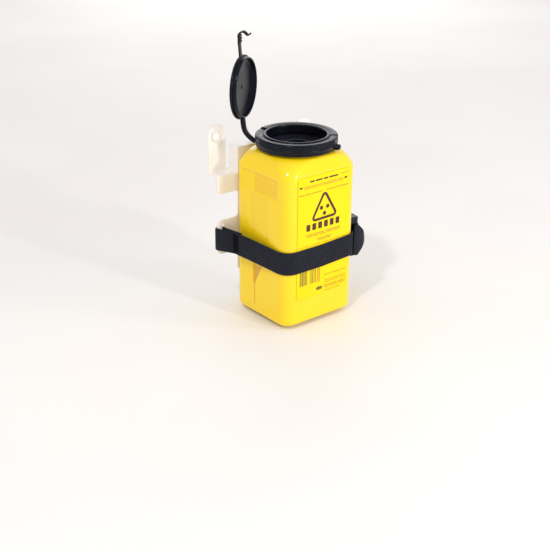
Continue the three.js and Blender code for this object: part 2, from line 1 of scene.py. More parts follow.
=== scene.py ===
"""Looks of the wall-hung sharps container: bracket, webbing strap, cam buckle, container, collar and lid.

Lengths are written in millimetres, apart from those in the materials, the camera and the lights, which are
in metres. Heights are above the container's foot. Bracket and strap are placed from the wall, and container
pieces from the container's own upright axis. FROM_WALL, FROM_AXIS and FROM_LID turn them into the row frame.
"""

import math

import bpy
import bmesh
from mathutils import Matrix, Vector


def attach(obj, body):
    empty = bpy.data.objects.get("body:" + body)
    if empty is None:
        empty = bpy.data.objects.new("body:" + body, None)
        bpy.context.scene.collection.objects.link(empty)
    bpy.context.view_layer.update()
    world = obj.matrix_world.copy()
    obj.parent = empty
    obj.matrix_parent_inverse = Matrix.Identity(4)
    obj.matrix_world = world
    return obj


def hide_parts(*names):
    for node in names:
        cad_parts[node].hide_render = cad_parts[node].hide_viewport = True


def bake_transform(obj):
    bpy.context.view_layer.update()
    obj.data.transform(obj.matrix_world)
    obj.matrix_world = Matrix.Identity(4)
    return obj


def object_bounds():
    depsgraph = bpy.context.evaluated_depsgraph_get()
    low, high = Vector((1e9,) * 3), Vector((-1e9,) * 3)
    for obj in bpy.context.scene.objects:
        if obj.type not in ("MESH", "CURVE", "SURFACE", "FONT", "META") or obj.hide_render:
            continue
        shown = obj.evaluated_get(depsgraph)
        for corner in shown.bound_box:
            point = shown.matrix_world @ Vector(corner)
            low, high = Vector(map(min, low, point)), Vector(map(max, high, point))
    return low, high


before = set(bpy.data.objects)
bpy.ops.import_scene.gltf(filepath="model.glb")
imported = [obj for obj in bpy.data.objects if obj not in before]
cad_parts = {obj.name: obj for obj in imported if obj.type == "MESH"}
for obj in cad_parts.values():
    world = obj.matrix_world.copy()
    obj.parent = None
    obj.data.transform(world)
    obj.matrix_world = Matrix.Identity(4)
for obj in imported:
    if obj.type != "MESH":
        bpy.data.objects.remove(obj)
cad_low, cad_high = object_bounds()

# ---- dimensions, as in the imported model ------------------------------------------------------
MM = 0.001
SCREW_Z = 190.0                      # left screw above the container's foot
EAR_DROP = 15.0                      # the right ear and its screw are this much lower
AXIS_Y = -61.0                       # the container's axis, out from the wall
WIDTH, DEPTH, CORNER, HEIGHT = 96.0, 88.0, 12.0, 182.0
SHOULDER_FOOT = 163.0
NECK_R, NECK_IN, NECK_TOP = 37.5, 35.9, 192.4
MOUTH_R = 31.6
COLLAR_FOOT, COLLAR_TOP = 183.8, 197.1
RAISED_FROM, RAISED_TO = -45.0, 112.0            # azimuths of the rim's higher back half
TETHER_AZ, TAIL_AZ, CATCH_AZ = 136.0, -50.0, -57.5
LID_TOP, LID_R, PLUG_R, PLUG_FOOT = 200.5, 33.2, 31.1, 193.3
HINGE = Vector((-37.4, 34.8, 192.5))
HINGE_AZ, HINGE_EL, HINGE_OPEN = 39.2, 6.85, 90.8
TAIL_ROOT, TAIL_LEVEL, TAIL_HALF, TAIL_THICK = 44.9, 199.4, 4.3, 1.6
WEB_WIDTH, WEB_THICK = 25.4, 1.6
LEAN = math.atan2(61.9 - 49.8, -15.5 + 93.0)     # the strap's free run, off straight back

# ---- dimensions of the looks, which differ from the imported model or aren't in it ---------------
COLLAR_RIM = 196.4                               # 0.3 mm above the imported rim
KNURL_AZ = 214.0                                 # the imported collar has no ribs
TETHER_HALF, TETHER_THICK = 3.3, 4.6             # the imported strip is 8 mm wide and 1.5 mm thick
# pressings in the side faces, where the yellow is darkened as painted shade: (front, back) from the axis,
# then (foot, top). The imported container has only a grip recess, further back.
GRIP = (-27, 10), (141, 160.8)
CREASE = (-27.5, 31), (159.9, 161.0)
CHANNEL = (-13.2, 15.8), (58, 139)
NOTCH, NOTCH_LEAN = ((-4, 12.1), (36, 72)), 0.52
GROOVE = (8.6, 10.2), (10, 37)

LID_TURN = (
    Matrix.Translation(HINGE)
    @ Matrix.Rotation(
        -math.radians(HINGE_OPEN), 4,
        Vector((
            math.cos(math.radians(HINGE_EL)) * math.cos(math.radians(HINGE_AZ)),
            math.cos(math.radians(HINGE_EL)) * math.sin(math.radians(HINGE_AZ)),
            math.sin(math.radians(HINGE_EL)),
        )),
    )
    @ Matrix.Translation(-HINGE)
)
FROM_WALL = Matrix.Translation((0, 0, -SCREW_Z))
FROM_AXIS = Matrix.Translation((0, AXIS_Y, -SCREW_Z))
FROM_LID = FROM_AXIS @ LID_TURN


# ---- materials -------------------------------------------------------------------------------
def srgb(code):
    """A colour from its six hex digits, in linear light."""
    parts = [int(code[i:i + 2], 16) / 255 for i in (0, 2, 4)]
    return [p / 12.92 if p <= 0.04045 else ((p + 0.055) / 1.055) ** 2.4 for p in parts] + [1.0]


class Shader:
    """One node material: a principled surface and small helpers that wire nodes to it."""

    def __init__(self, name):
        self.material = bpy.data.materials.new(name)
        self.material.use_nodes = True
        self.tree = self.material.node_tree
        self.surface = self.tree.nodes["Principled BSDF"]
        self.place = self.tree.nodes.new("ShaderNodeTexCoord")

    def set(self, **values):
        for key, value in values.items():
            self.surface.inputs[key.replace("_", " ")].default_value = value

    def node(self, kind, **settings):
        made = self.tree.nodes.new("ShaderNode" + kind)
        for key, value in settings.items():
            if hasattr(made, key):
                setattr(made, key, value)
            else:
                made.inputs[key.replace("_", " ")].default_value = value
        return made

    def link(self, source, target):
        self.tree.links.new(source, target)

    def math(self, operation, *values):
        """A math node. Each value is another node's output or a number."""
        made = self.node("Math", operation=operation)
        for socket, value in zip(made.inputs, values):
            if isinstance(value, float):
                socket.default_value = value
            else:
                self.link(value, socket)
        return made.outputs[0]

    def noise(self, scale, detail=2.0, roughness=0.5):
        made = self.node("TexNoise", Scale=scale, Detail=detail, Roughness=roughness)
        self.link(self.place.outputs["Object"], made.inputs["Vector"])
        return made.outputs["Fac"]

    def ramp(self, factor, low, high, at=(0.35, 0.65)):
        made = self.node("ValToRGB")
        made.color_ramp.elements[0].color = low
        made.color_ramp.elements[1].color = high
        made.color_ramp.elements[0].position = at[0]
        made.color_ramp.elements[1].position = at[1]
        self.link(factor, made.inputs["Fac"])
        return made.outputs["Color"]

    def range(self, factor, low, high, at=(0.3, 0.7)):
        made = self.node("MapRange")
        made.inputs["From Min"].default_value, made.inputs["From Max"].default_value = at
        made.inputs["To Min"].default_value, made.inputs["To Max"].default_value = low, high
        self.link(factor, made.inputs["Value"])
        return made.outputs["Result"]

    def bump(self, height, strength, distance):
        made = self.node("Bump", Strength=strength, Distance=distance)
        self.link(height, made.inputs["Height"])
        self.link(made.outputs["Normal"], self.surface.inputs["Normal"])

    def colour(self, output):
        self.link(output, self.surface.inputs["Base Color"])

    def rough(self, output):
        self.link(output, self.surface.inputs["Roughness"])


WHITE = (1.0, 1.0, 1.0, 1.0)
COOL = (0.72, 0.78, 1.0, 1.0)                    # the bluish sheen of the black plastic


def plastic(name, dark, light, roughness, grain=900.0, grain_depth=0.00004, gloss=0.5, tint=WHITE):
    """Moulded plastic: broad colour drift, fine grain and uneven gloss."""
    s = Shader(name)
    s.colour(s.ramp(s.noise(28.0, 3.0), srgb(dark), srgb(light)))
    s.rough(s.range(s.noise(60.0, 4.0), roughness - 0.05, roughness + 0.07))
    s.bump(s.noise(grain, 3.0), 0.25, grain_depth)
    s.set(Specular_IOR_Level=gloss, Specular_Tint=tint)
    return s.material


def powder_coat(name, dark, light):
    """Powder-coated sheet: fine orange peel and a faint change of tone."""
    s = Shader(name)
    s.colour(s.ramp(s.noise(18.0, 4.0), srgb(dark), srgb(light)))
    s.rough(s.range(s.noise(90.0), 0.38, 0.5))
    s.bump(s.noise(1400.0, 2.0), 0.35, 0.00005)
    return s.material


def woven(name, dark, light, shine):
    """Nylon webbing: fine yarns and fuzz over the ribs that the mesh already has."""
    yarn_pitch = 0.0009
    s = Shader(name)
    split = s.node("SeparateXYZ")
    s.link(s.place.outputs["Object"], split.inputs["Vector"])
    yarns = s.math("SINE", s.math("MULTIPLY", split.outputs["Z"], 2 * math.pi / yarn_pitch))
    height = s.math("ADD", yarns, s.noise(2500.0, 2.0))
    s.bump(height, 0.5, 0.00008)
    s.colour(s.ramp(s.noise(700.0, 4.0), srgb(dark), srgb(light), (0.3, 0.75)))
    s.rough(s.range(s.noise(300.0), 0.62, 0.82))
    s.set(Sheen_Weight=0.32 * shine, Sheen_Roughness=0.4, Sheen_Tint=(0.6, 0.65, 0.8, 1.0),
          Specular_IOR_Level=shine, Specular_Tint=(0.8, 0.85, 1.0, 1.0))
    return s.material


def metal(name, tone, roughness):
    """Plated steel with fine scratches."""
    s = Shader(name)
    s.colour(s.ramp(s.noise(120.0, 5.0), srgb(tone), srgb("d6d8da")))
    s.rough(s.range(s.noise(400.0), roughness - 0.06, roughness + 0.1))
    s.bump(s.noise(1800.0), 0.15, 0.00003)
    s.set(Metallic=1.0)
    return s.material


FILM = plastic("label_film", "ffdb06", "ffde0c", 0.32, 1200.0, 0.00002, 0.2)
INK = plastic("label_ink", "43200c", "4c270c", 0.4)
FAINT_INK = plastic("label_faint_ink", "b98410", "c59012", 0.4)
GREY_INK = plastic("label_grey_ink", "6f6016", "7f6f1c", 0.4)
# a lighter copy of the black plastic for the funnel: painted light, as little light reaches into the mouth
FUNNEL_BLACK_PAINTED_LIGHT = plastic("funnel_plastic_painted_light", "171820", "1f212a", 0.3, 800.0, 0.00005, 0.3, COOL)
BUCKLE_BLACK = plastic("buckle_plastic", "12131a", "191b23", 0.3, 800.0, 0.00005, 0.34, COOL)
BLACK = plastic("black_plastic", "0a0b11", "10121a", 0.26, 800.0, 0.00005, 0.22, COOL)
CREAM = powder_coat("cream_coat", "f4efea", "f9f5f0")
CAP = plastic("cream_plastic", "f6f1ea", "fbf7f1", 0.36)
WEB = woven("webbing", "11121a", "1e202b", 0.3)
THREAD = woven("thread", "0a0b0f", "111217", 0.1)
STEEL = metal("plated_steel", "b4b7ba", 0.32)


def container_plastic():
    """Glossy yellow, with painted shade: a darker orange in the notch, the grip, the crease, the channel and
    the groove pressed into the side faces.
    """
    s = Shader("yellow_plastic")
    split = s.node("SeparateXYZ")
    s.link(s.place.outputs["Object"], split.inputs["Vector"])

    def times(one, other):
        return s.math("MULTIPLY", one, other)

    def larger(one, other):
        return s.math("MAXIMUM", one, other)

    def band(axis, low, high, edge):
        """1 between two places along an axis, 0 outside, with soft edges."""
        rise = s.range(split.outputs[axis], 0.0, 1.0, (low - edge, low + edge))
        fall = s.range(split.outputs[axis], 1.0, 0.0, (high - edge, high + edge))
        return times(rise, fall)

    def world_y(y):
        return (y + AXIS_Y) * MM

    def world_z(z):
        return (z - SCREW_Z) * MM

    def patch(place, y_edge, z_edge):
        """1 inside a rectangle seen from the side, 0 outside."""
        (front, back), (foot, top) = place
        return times(band("Y", world_y(front), world_y(back), y_edge),
                     band("Z", world_z(foot), world_z(top), z_edge))

    distance = s.math("ABSOLUTE", split.outputs["X"])
    side = s.range(distance, 0.0, 1.0, ((WIDTH / 2 - 1.9) * MM, (WIDTH / 2 - 1.2) * MM))
    grip = patch(GRIP, 0.0006, 0.0006)
    crease = patch(CREASE, 0.002, 0.0003)
    channel = patch(CHANNEL, 0.0008, 0.0015)
    groove = patch(GROOVE, 0.0003, 0.0008)
    # the notch narrows downwards: its front edge leans back as the height falls
    slant = s.math("ADD", split.outputs["Y"], times(split.outputs["Z"], NOTCH_LEAN))
    base = world_y(9.0) + NOTCH_LEAN * world_z(36)
    inside = s.range(slant, 0.0, 1.0, (base - 0.0002, base + 0.0004))
    notch = times(inside, patch(NOTCH, 0.0002, 0.0005))
    # painted shade: how much each pressing is darkened, strongest in the notch and the groove, faint in the
    # grip, the crease and the channel
    faint = larger(larger(times(grip, 0.26), times(crease, 0.4)), times(channel, 0.1))
    depth = times(larger(faint, larger(notch, times(groove, 0.8))), side)
    painted_shade_mix = s.node("Mix", data_type="RGBA")
    s.link(depth, painted_shade_mix.inputs["Factor"])
    s.link(s.ramp(s.noise(28.0, 3.0), srgb("ffd813"), srgb("ffdb1b")), painted_shade_mix.inputs["A"])
    # the darker orange is painted shade in the pressings, not the plastic's own colour
    s.link(s.ramp(s.noise(28.0, 3.0), srgb("dc9600"), srgb("e49f00")), painted_shade_mix.inputs["B"])
    s.colour(painted_shade_mix.outputs["Result"])
    s.rough(s.range(s.noise(60.0, 4.0), 0.36, 0.46))
    s.bump(s.noise(500.0, 2.0), 0.2, 0.00006)
    s.set(Coat_Weight=0.85, Coat_Roughness=0.09, Specular_IOR_Level=0.05)
    return s.material


YELLOW = container_plastic()


# ---- mesh helpers ----------------------------------------------------------------------------
def build(name, points, faces, material, where, body, slot, hides=(), sharp=35.0):
    """A new piece from points and faces in millimetres, put in the row frame, riding on a body."""
    mesh = bpy.data.meshes.new(name)
    mesh.from_pydata([tuple((where @ Vector(p)) * MM) for p in points], [], faces)
    work = bmesh.new()
    work.from_mesh(mesh)
    bmesh.ops.remove_doubles(work, verts=work.verts, dist=1e-7)
    bmesh.ops.recalc_face_normals(work, faces=work.faces)
    work.to_mesh(mesh)
    work.free()
    return dress(name, mesh, material, body, hides, sharp)


def dress(name, mesh, material, body, hides=(), sharp=35.0):
    """Gives a finished mesh its material, shading and body."""
    piece = bpy.data.objects.new(name, mesh)
    bpy.context.collection.objects.link(piece)
    mesh.materials.clear()
    mesh.materials.append(material)
    mesh.shade_smooth()
    mesh.set_sharp_from_angle(angle=math.radians(sharp))
    if body:
        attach(piece, body)
    if hides:
        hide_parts(*hides)
    return piece


def rings_mesh(rings):
    """Points and faces of a closed skin through rings that all have the same number of points."""
    count = len(rings[0])
    points = [p for ring in rings for p in ring]
    faces = []
    for level in range(len(rings) - 1):
        base = level * count
        for i in range(count):
            j = (i + 1) % count
            faces.append((base + i, base + j, base + count + j, base + count + i))
    for level, flip in ((0, True), (len(rings) - 1, False)):
        centre = len(points)
        ring = rings[level]
        points.append(tuple(sum(p[k] for p in ring) / count for k in range(3)))
        base = level * count
        for i in range(count):
            j = (i + 1) % count
            faces.append((base + j, base + i, centre) if flip else (base + i, base + j, centre))
    return points, faces


def turned_mesh(profile, segments):
    """A closed profile of (radius, height), or a function of the angle that gives one, turned about Z."""
    rings = []
    for k in range(segments):
        angle = 2 * math.pi * k / segments
        line = profile(math.degrees(angle)) if callable(profile) else profile
        rings.append([(r * math.cos(angle), r * math.sin(angle), z) for r, z in line])
    count = len(rings[0])
    points = [p for ring in rings for p in ring]
    faces = []
    for k in range(segments):
        a, b = k * count, (k + 1) % segments * count
        for i in range(count):
            j = (i + 1) % count
            faces.append((a + i, a + j, b + j, b + i))
    return points, faces


def filleted(corners, steps=5):
    """A closed outline through (x, y, radius) corners, each rounded to its radius."""
    out = []
    count = len(corners)
    for i, (x, y, radius) in enumerate(corners):
        here = Vector((x, y))
        if radius <= 0:
            out.append((x, y))
            continue
        before = (Vector(corners[i - 1][:2]) - here).normalized()
        after = (Vector(corners[(i + 1) % count][:2]) - here).normalized()
        half = before.angle(after) / 2
        middle = here + (before + after).normalized() * (radius / math.sin(half))
        start = here + before * (radius / math.tan(half)) - middle
        sweep = start.angle_signed(here + after * (radius / math.tan(half)) - middle)
        for k in range(steps + 1):
            turn = -sweep * k / steps
            c, s = math.cos(turn), math.sin(turn)
            out.append((middle.x + start.x * c - start.y * s, middle.y + start.x * s + start.y * c))
    return out


def prism(outline, low, high, lay):
    """Points and faces of an outline given thickness; lay(u, v, w) puts a point in space."""
    rings = [[lay(u, v, w) for u, v in outline] for w in (low, high)]
    count = len(outline)
    points = rings[0] + rings[1]
    faces = [tuple(range(count))[::-1], tuple(range(count, 2 * count))]
    faces += [(i, (i + 1) % count, count + (i + 1) % count, count + i) for i in range(count)]
    return points, faces


def upright(u, v, w):
    """Lays an outline in a plane that faces front; w runs backwards."""
    return (u, w, v)


def flat(u, v, w):
    """Lays an outline level; w is the height."""
    return (u, v, w)


def joined(*parts):
    """Several meshes' points and faces as one."""
    points, faces = [], []
    for more_points, more_faces in parts:
        start = len(points)
        points += more_points
        faces += [tuple(start + i for i in face) for face in more_faces]
    return points, faces


def applied(piece):
    """Puts a piece's modifiers into its mesh."""
    evaluated = piece.evaluated_get(bpy.context.evaluated_depsgraph_get())
    mesh = bpy.data.meshes.new_from_object(evaluated)
    piece.modifiers.clear()
    old = piece.data
    piece.data = mesh
    bpy.data.meshes.remove(old)
    return piece


def softened(piece, width, segments=3, angle=30.0):
    """Rounds a piece's hard edges."""
    bevel = piece.modifiers.new("edges", "BEVEL")
    bevel.width = width * MM
    bevel.segments = segments
    bevel.limit_method = "ANGLE"
    bevel.angle_limit = math.radians(angle)
    bevel.harden_normals = False
    bevel.miter_outer = "MITER_ARC"
    weighted = piece.modifiers.new("normals", "WEIGHTED_NORMAL")
    weighted.weight = 100
    weighted.keep_sharp = False
    return applied(piece)


def from_cad(node, name, material, body, width, segments=3):
    """A copy of a CAD node with its flat faces merged and its edges rounded."""
    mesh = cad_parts[node].data.copy()
    mesh.name = name
    work = bmesh.new()
    work.from_mesh(mesh)
    bmesh.ops.remove_doubles(work, verts=work.verts, dist=2e-6)
    bmesh.ops.dissolve_limit(
        work, angle_limit=math.radians(1.0), verts=work.verts, edges=work.edges,
        use_dissolve_boundaries=False,
    )
    bmesh.ops.recalc_face_normals(work, faces=work.faces)
    work.to_mesh(mesh)
    work.free()
    piece = dress(name, mesh, material, body, (node,))
    return softened(piece, width, segments)


def moulded(node, name, material, body, grain, rounds):
    """A CAD node remade as one soft moulding: an even skin, then smoothed."""
    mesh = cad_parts[node].data.copy()
    mesh.name = name
    piece = dress(name, mesh, material, body, (node,), 180)
    skin = piece.modifiers.new("skin", "REMESH")
    skin.mode = "VOXEL"
    skin.voxel_size = grain * MM
    skin.use_smooth_shade = True
    ease = piece.modifiers.new("ease", "SMOOTH")
    ease.factor = 0.5
    ease.iterations = rounds
    return applied(piece)


def smoothstep(low, high, value):
    """0 at low, 1 at high, easing in between; low may be the larger of the two."""
    t = min(max((value - low) / (high - low), 0.0), 1.0)
    return t * t * (3 - 2 * t)


def spline(knots, steps):
    """A smooth line through knots, with a number of steps for each span."""
    out = []
    count = len(knots)
    for i in range(count - 1):
        p0, p1 = Vector(knots[max(i - 1, 0)]), Vector(knots[i])
        p2, p3 = Vector(knots[i + 1]), Vector(knots[min(i + 2, count - 1)])
        for k in range(steps):
            t = k / steps
            out.append(0.5 * (
                2 * p1 + (p2 - p0) * t + (2 * p0 - 5 * p1 + 4 * p2 - p3) * t * t
                + (3 * p1 - p0 - 3 * p2 + p3) * t ** 3))
    out.append(Vector(knots[-1]))
    return out


# ---- container -------------------------------------------------------------------------------
def box_ring(half_x, half_y, corner, z, side_steps=34, corner_steps=10):
    """One level of the container: straight sides and round corners, counter-clockwise from +X."""
    ring = []
    spans = [
        ((half_x, -half_y + corner), (half_x, half_y - corner), (half_x - corner, half_y - corner), 0),
        ((half_x - corner, half_y), (-half_x + corner, half_y), (-half_x + corner, half_y - corner), 90),
        ((-half_x, half_y - corner), (-half_x, -half_y + corner), (-half_x + corner, -half_y + corner), 180),
        ((-half_x + corner, -half_y), (half_x - corner, -half_y), (half_x - corner, -half_y + corner), 270),
    ]
    for (x0, y0), (x1, y1), (cx, cy), start in spans:
        for k in range(side_steps):
            t = k / side_steps
            ring.append((x0 + (x1 - x0) * t, y0 + (y1 - y0) * t, z))
        for k in range(corner_steps):
            angle = math.radians(start + 90 * k / corner_steps)
            ring.append((cx + corner * math.cos(angle), cy + corner * math.sin(angle), z))
    return ring


def grip_depth(y, z):
    """How deep the side faces are pressed in: a grip under a crease, a channel and its notch."""
    under_crease = 1 - smoothstep(160.5, 161.2, z)
    crease = smoothstep(-29, -26.5, y) * (1 - smoothstep(30, 33, y))
    depth = 0.5 * crease * under_crease * smoothstep(148, 159, z)
    sill = 141.5 + (y - 10) * 0.08
    grip = smoothstep(-28, -26.5, y) * (1 - smoothstep(9, 10.6, y))
    depth += 0.95 * grip * under_crease * smoothstep(sill - 0.9, sill + 0.9, z)
    channel = smoothstep(-14, -12.4, y) * (1 - smoothstep(15, 16.6, y))
    depth += 0.4 * channel * (1 - smoothstep(sill - 3, sill - 1, z)) * smoothstep(54, 58, z)
    rear = 1 - smoothstep(11.8, 12.6, y)
    front = smoothstep(-0.6, 0.6, y - (9.6 - 11.2 * (z - 36) / 21.5))
    depth += 1.3 * rear * front * smoothstep(35.5, 36.5, z) * (1 - smoothstep(72, 74, z))
    groove = 1 - smoothstep(0.4, 1.0, abs(y - 9.4))
    return depth + 0.6 * groove * smoothstep(9, 12, z) * (1 - smoothstep(36, 38, z))


def pressed(ring):
    """A ring with the side faces' pressings taken in."""
    out = []
    for x, y, z in ring:
        if abs(x) > WIDTH / 2 - 0.02:
            depth = min(grip_depth(y, z), 1.6)
            out.append((math.copysign(abs(x) - depth, x), y, z))
        else:
            out.append((x, y, z))
    return out


def container_levels():
    """Heights of the straight wall: close together where the pressings have edges."""
    levels = [5 + 1.5 * k for k in range(22)]
    levels += [38 + 1.6 * k for k in range(14)]
    levels += [61 + 4.0 * k for k in range(18)]
    levels += [132 + 0.9 * k for k in range(34)]
    return [z for z in levels if z < SHOULDER_FOOT - 0.3]


def shoulder_ring(turn, inset):
    """One level of the shoulder, from the box (turn 0) to the round throat (turn 1)."""
    angle = turn * math.pi / 2
    blend = 1 - math.cos(angle)
    top = NECK_R + 0.2
    half_x = WIDTH / 2 + (top + 0.1 - WIDTH / 2) * blend - inset
    half_y = DEPTH / 2 + (top + 0.1 - DEPTH / 2) * blend - inset
    corner = CORNER + (top - CORNER) * blend ** 0.8 - inset
    z = SHOULDER_FOOT + (HEIGHT - SHOULDER_FOOT) * math.sin(angle) ** 1.3 - inset
    return box_ring(half_x, half_y, corner, z)


def make_container():
    """The container as one skin: foot, pressed walls, shoulder and neck, then back down inside."""
    foot_round, wall, floor_top = 5.0, 2.2, 2.2
    rings = []
    for inset, z in ((30.0, 0.8), (16.0, 0.8), (8.0, 0.1)):
        rings.append(box_ring(WIDTH / 2 - inset, DEPTH / 2 - inset, CORNER * 0.5, z))
    for k in range(9):
        angle = k / 8 * math.pi / 2
        pull = foot_round * (1 - math.sin(angle))
        z = foot_round * (1 - math.cos(angle))
        rings.append(box_ring(WIDTH / 2 - pull, DEPTH / 2 - pull, CORNER - pull * 0.6, z))
    rings += [pressed(box_ring(WIDTH / 2, DEPTH / 2, CORNER, z)) for z in container_levels()[1:]]
    rings += [shoulder_ring(k / 24, 0) for k in range(25)]
    for radius, z in (
        (NECK_R, HEIGHT + 0.4), (NECK_R, NECK_TOP - 0.3),
        (NECK_R - 0.3, NECK_TOP), (NECK_IN + 0.2, NECK_TOP), (NECK_IN, NECK_TOP - 0.3),
    ):
        rings.append(box_ring(radius, radius, radius - 0.05, z))
    rings += [shoulder_ring(k / 8, wall) for k in range(8, -1, -1)]
    for z in (120.0, 60.0, 12.0):
        rings.append(box_ring(WIDTH / 2 - wall, DEPTH / 2 - wall, CORNER - wall, z))
    for pull, z in ((1.5, 5.0), (5.0, floor_top + 0.2), (25.0, floor_top)):
        half_x, half_y = WIDTH / 2 - wall - pull, DEPTH / 2 - wall - pull
        rings.append(box_ring(half_x, half_y, CORNER - wall - pull * 0.2, z))
    points, faces = rings_mesh(rings)
    build("container_body", points, faces, YELLOW, FROM_AXIS, "container", "yellow_plastic",
          ("container_shell",), 50)


# ---- label -----------------------------------------------------------------------------------
LABEL_GAP, LABEL_THICK = 0.3, 0.4
LABEL_FACE = -(DEPTH / 2 + LABEL_GAP + LABEL_THICK)
INK_PROUD, INK_BACK = 0.08, 0.005                # how far print stands off the label's face
CODE_FOOT, CODE_TOP = 44.8, 61.5                 # the group of upright bars


def ink_bar(x0, z0, x1, z1, roundness=0.3):
    """A printed patch on the label's face."""
    r = min(roundness, (x1 - x0) / 2.2, (z1 - z0) / 2.2)
    outline = filleted([(x0, z0, r), (x1, z0, r), (x1, z1, r), (x0, z1, r)], 2)
    return prism(outline, LABEL_FACE - INK_PROUD, LABEL_FACE - INK_BACK, upright)


def words(x0, x1, z, height, lengths, gap):
    """A line of print: plain dashes of uneven length in place of words."""
    total = sum(lengths)
    room = (x1 - x0) - gap * (len(lengths) - 1)
    out, x = [], x0
    for length in lengths:
        run = room * length / total
        out.append(ink_bar(x, z, x + run, z + height))
        x += run + gap
    return out


def outline_triangle(corners, stroke, round_off):
    """The stroke of a rounded triangle through three corners."""
    centre = sum((Vector(p) for p in corners), Vector((0, 0))) / 3

    def grown(amount):
        out = []
        for p in corners:
            spoke = Vector(p) - centre
            out.append((*(centre + spoke * (1 + 2 * amount / spoke.length)), max(round_off + amount, 0.4)))
        return filleted(out, 6)

    outer, inner = grown(stroke / 2), grown(-stroke / 2)
    count = len(outer)
    points = [upright(u, v, LABEL_FACE - w) for w in (INK_PROUD, INK_BACK) for u, v in outer + inner]
    faces = []
    for i in range(count):
        j = (i + 1) % count
        faces += [
            (i, j, count + j, count + i),
            (2 * count + i, 3 * count + i, 3 * count + j, 2 * count + j),
            (i, 2 * count + i, 2 * count + j, j),
            (count + i, count + j, 3 * count + j, 3 * count + i),
        ]
    return points, faces


def circle(x, y, radius, count=24):
    """A round outline."""
    turns = [2 * math.pi * k / count for k in range(count)]
    return [(x + radius * math.cos(turn), y + radius * math.sin(turn)) for turn in turns]


def ink_dot(x, z, radius):
    """A round printed dot."""
    return prism(circle(x, z, radius), LABEL_FACE - INK_PROUD, LABEL_FACE - INK_BACK, upright)


def striped(x0, x1, foot, top, pattern, gap):
    """Upright bars of uneven width that fill a span, in place of a code."""
    total = sum(pattern) + gap * (len(pattern) - 1)
    unit, x, out = (x1 - x0) / total, x0, []
    for width in pattern:
        out.append(ink_bar(x, foot, x + width * unit, top, roundness=0.05))
        x += (width + gap) * unit
    return out


def make_label():
    """The printed film. All its print is plain bars, blocks and a plain triangle with three dots."""
    left, right, foot, top, corner = -34, 36, 30, 165, 3
    corners = [(left, foot, corner), (right, foot, corner), (right, top, corner), (left, top, corner)]
    sheet = prism(filleted(corners, 6), LABEL_FACE, LABEL_FACE + LABEL_THICK, upright)
    piece = build("label_sheet", *sheet, FILM, FROM_AXIS, "container", "label_film", ("label_panel",))
    softened(piece, 0.12, 2)
    make_bold_print()
    make_small_print()
    code = striped(-30.0, -19.8, CODE_FOOT, CODE_TOP, [1.4, 0.8, 1.8, 0.8, 1.2, 1.0], 0.8)
    code += striped(-16.0, -7.8, CODE_FOOT, CODE_TOP, [1.0, 0.7, 1.3, 0.7, 1.0], 1.1)
    code.append(ink_bar(-7.0, 34.8, 1.6, 38.6, roundness=1.8))      # a rounded mark below the bars
    build("label_code", *joined(*code), GREY_INK, FROM_AXIS, "container", "label_film")


def make_bold_print():
    """The dark print: a pictogram, a row of six blocks under it and a heading with two markers."""
    bold = [outline_triangle([(-15.0, 116.0), (19.2, 116.8), (1.9, 145.6)], 2.9, 2.6)]
    bold += [ink_dot(-2.2, 128.0, 2.3), ink_dot(6.4, 128.3, 2.3), ink_dot(2.1, 121.4, 2.3)]
    first, pitch, width = -22.2, 8.05, 5.2
    for k in range(6):
        left = first + pitch * k
        bold.append(ink_bar(left, 105.6, left + width, 113.0, roundness=1.0))
    bold += words(-18.5, 19.5, 158.8, 1.7, [2, 3, 2, 4], 1.6)
    bold.append(ink_bar(-32.4, 154.1, -28.4, 155.9, roundness=0.9))
    bold.append(ink_bar(28.6, 153.8, 32.4, 155.7, roundness=0.9))
    build("label_print", *joined(*bold), INK, FROM_AXIS, "container", "label_film")


def make_small_print():
    """The faint lines of print. Each row: left, right, foot, height, lengths of its dashes, gap."""
    rows = [
        # over the pictogram
        (23.5, 33.8, 159.8, 0.9, [5, 4], 1.0),
        (-26, 27, 154.4, 0.8, [6, 3, 5, 4, 6, 3, 5], 0.8),
        (-26, 27, 152.7, 0.8, [4, 5, 3, 6, 4, 4], 0.8),
        (-33.0, -2.1, 146.2, 1.0, [4, 4, 8], 1.0),
        (4.1, 34.5, 146.2, 1.0, [2, 4, 2, 6], 1.0),
        # between the blocks and the strap
        (-22.7, 24.9, 100.6, 1.0, [7, 6], 2.4),
        (-21, 23.5, 98.8, 0.9, [3, 3, 4, 3, 4], 1.6),
        (-7.1, 12.0, 94.0, 1.0, [5, 4], 0.8),
        (-6, 11, 92.3, 0.9, [3, 4, 3], 1.0),
        (-31.7, 34.8, 88.8, 0.6, [3, 6, 4, 5, 7, 4, 6, 5], 0.9),
        # under the strap
        (3.6, 34.8, 49.8, 0.9, [6, 8, 5], 1.0),
        (4.6, 35, 43.4, 0.8, [7, 5, 6], 1.0),
        (4.7, 35, 41.2, 0.8, [4, 8, 6], 1.0),
        (4.2, 26.6, 31.6, 0.7, [6, 5], 1.0),
        (3.4, 34.8, 37.0, 1.0, [7, 4], 1.6),
        (4.4, 34, 35.0, 0.9, [3, 5, 4], 1.4),
    ]
    faint = []
    for row in rows:
        faint += words(*row)
    faint += striped(-6.0, -2.2, 44.5, CODE_TOP, [1.0, 0.7, 1.2], 0.8)
    build("label_small_print", *joined(*faint), FAINT_INK, FROM_AXIS, "container", "label_film")


